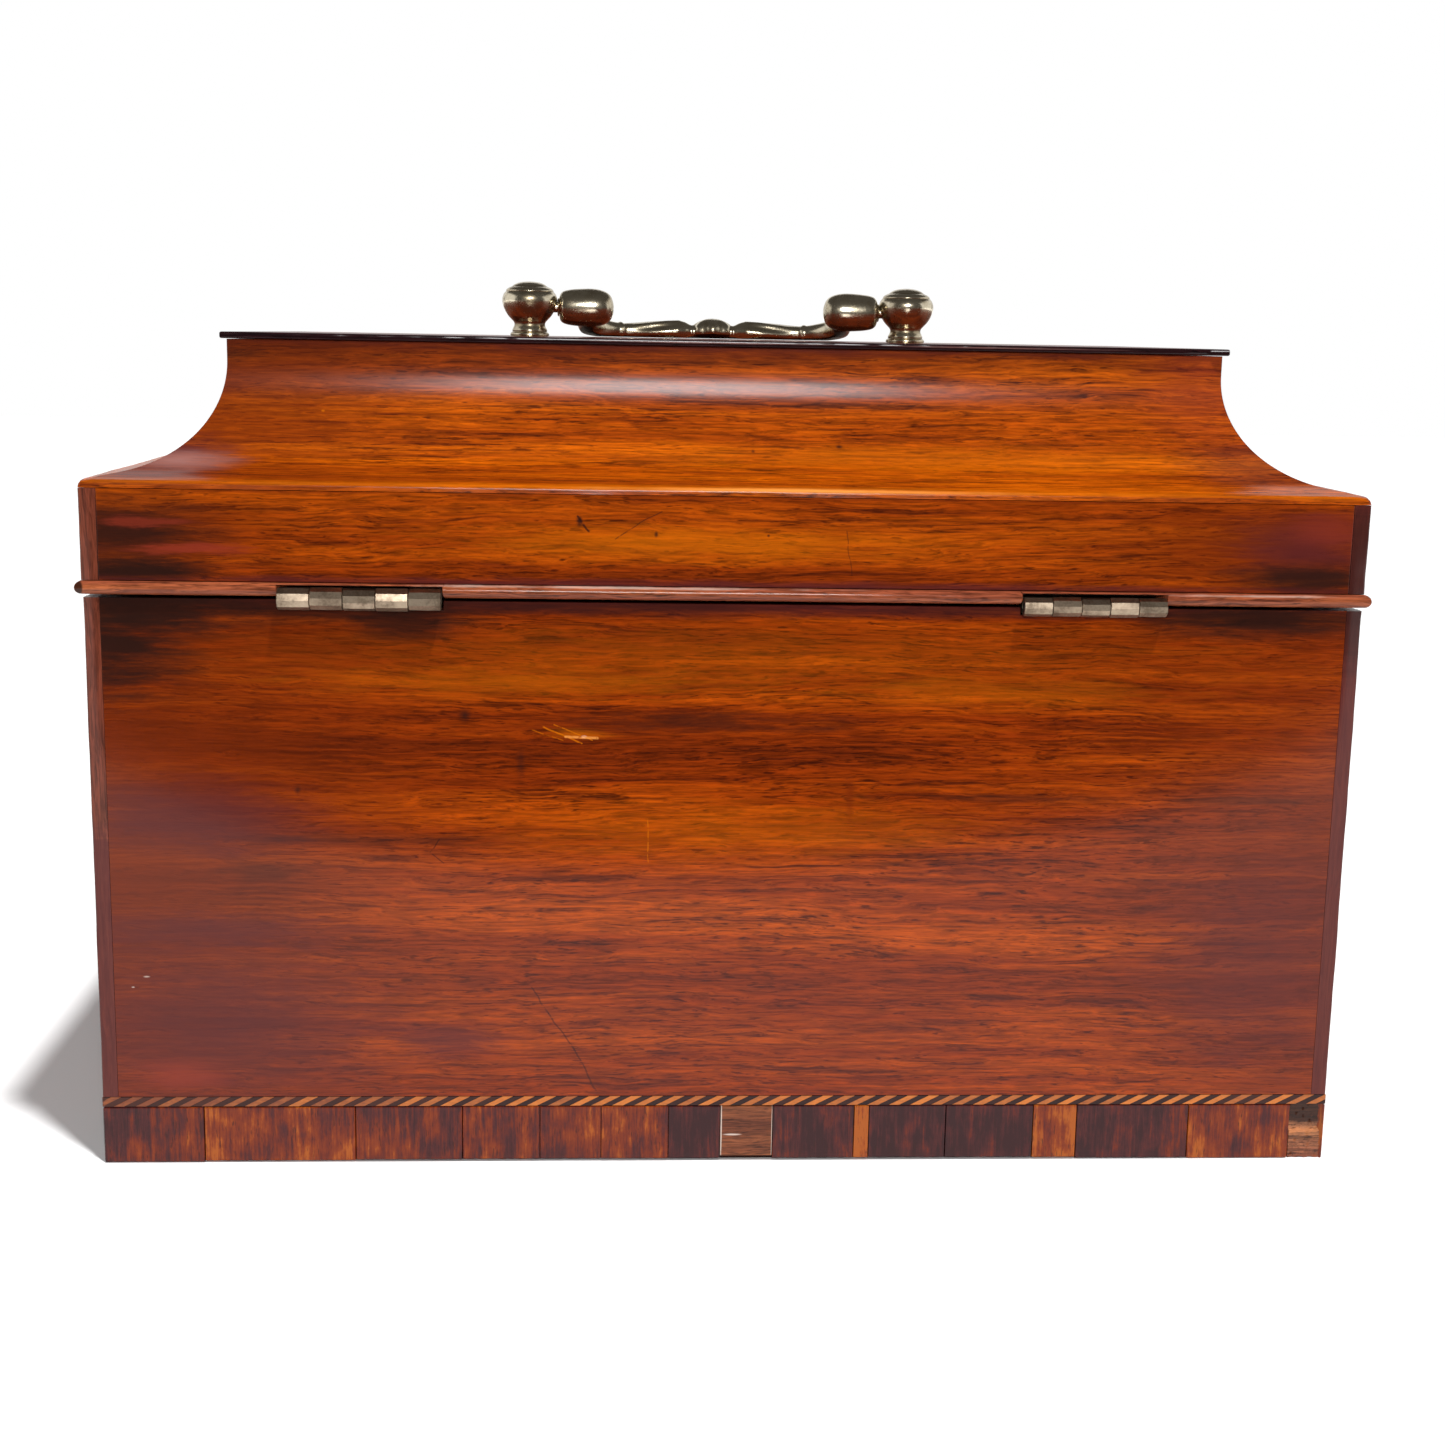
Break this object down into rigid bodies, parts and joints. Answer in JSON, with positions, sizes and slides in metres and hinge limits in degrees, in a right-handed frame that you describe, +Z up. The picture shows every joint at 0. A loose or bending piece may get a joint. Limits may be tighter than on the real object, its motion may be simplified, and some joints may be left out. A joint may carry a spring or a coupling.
{
  "type": "tea caddy",
  "caption": "Rectangular mahogany tea caddy with a concave sarcophagus lid on rear hinges, a brass drop handle, rope-pattern stringing above a cross-banded base, and lidded tea wells.",
  "frame": {"origin": "centre of the base, on the surface that the caddy stands on", "axes": "+Z up, +Y towards the back with the hinges, +X to the right as seen from the front"},
  "size_m": [0.232, 0.1435, 0.1631],
  "materials": {
    "mahogany": "French polished mahogany with grime and wear",
    "dark_mahogany": "French polished darker mahogany edging and bead",
    "crossband": "upright-grained veneer in several patches, polished and repaired",
    "rope_inlay": "rope-pattern inlay of light and dark slanted pieces, polished",
    "inner_wood": "unpolished secondary wood",
    "velvet": "worn green velvet",
    "aged_brass": "aged brass, bright on the high places",
    "hinge_brass": "dull aged brass",
    "steel": "old steel"
  },
  "bodies": {
    "box": {"front_board": "mahogany", "back_board": "mahogany", "left_board": "mahogany", "right_board": "mahogany", "bottom_board": "inner_wood", "well_partition": "inner_wood", "rope_stringing": "rope_inlay", "corner_edging_front_left": "dark_mahogany", "corner_edging_front_right": "dark_mahogany", "corner_edging_back_left": "dark_mahogany", "corner_edging_back_right": "dark_mahogany", "crossband_front": "crossband", "crossband_back": "crossband", "crossband_left": "crossband", "crossband_right": "crossband", "hinge_left_box_leaf": "hinge_brass", "hinge_left_pin": "steel", "hinge_left_box_screw_1": "hinge_brass", "hinge_left_box_screw_2": "hinge_brass", "hinge_right_box_leaf": "hinge_brass", "hinge_right_pin": "steel", "hinge_right_box_screw_1": "hinge_brass", "hinge_right_box_screw_2": "hinge_brass", "lock_case": "hinge_brass", "keyhole_escutcheon": "aged_brass"},
    "lid": {"lid_rim_front": "mahogany", "lid_rim_back": "mahogany", "lid_rim_left": "mahogany", "lid_rim_right": "mahogany", "lid_edging_front_left": "dark_mahogany", "lid_edging_front_right": "dark_mahogany", "lid_edging_back_left": "dark_mahogany", "lid_edging_back_right": "dark_mahogany", "lid_cove_front": "mahogany", "lid_cove_back": "mahogany", "lid_cove_left": "mahogany", "lid_cove_right": "mahogany", "lid_bead_front": "dark_mahogany", "lid_bead_back": "dark_mahogany", "lid_bead_left": "dark_mahogany", "lid_bead_right": "dark_mahogany", "lid_top_panel": "mahogany", "lid_lining": "velvet", "hinge_left_lid_leaf": "hinge_brass", "hinge_left_lid_screw_1": "hinge_brass", "hinge_left_lid_screw_2": "hinge_brass", "hinge_right_lid_leaf": "hinge_brass", "hinge_right_lid_screw_1": "hinge_brass", "hinge_right_lid_screw_2": "hinge_brass", "link_plate": "hinge_brass", "handle_post_left": "aged_brass", "handle_post_right": "aged_brass", "handle_nut_left": "steel", "handle_nut_right": "steel"},
    "bail": {"handle_bail": "aged_brass"},
    "bolt": {"lock_bolt": "steel"},
    "tea_lid_left": {"tea_lid_left": "mahogany", "tea_lid_knob_left": "aged_brass"},
    "tea_lid_right": {"tea_lid_right": "mahogany", "tea_lid_knob_right": "aged_brass"}
  },
  "joints": [
    {"name": "lid_hinge", "type": "hinge", "parent": "box", "child": "lid", "pos_m": [0, 0.0706, 0.1059], "axis": [-1, 0, 0], "range_deg": [0, 100]},
    {"name": "bail_pivot", "type": "hinge", "parent": "lid", "child": "bail", "pos_m": [0, 0, 0.158], "axis": [-1, 0, 0], "range_deg": [0, 155]},
    {"name": "lock_bolt_slide", "type": "slide", "parent": "box", "child": "bolt", "axis": [1, 0, 0], "range_m": [0, 0.004]},
    {"name": "tea_lid_left_lift", "type": "slide", "parent": "box", "child": "tea_lid_left", "axis": [0, 0, 1], "range_m": [0, 0.012]},
    {"name": "tea_lid_right_lift", "type": "slide", "parent": "box", "child": "tea_lid_right", "axis": [0, 0, 1], "range_m": [0, 0.012]}
  ]
}
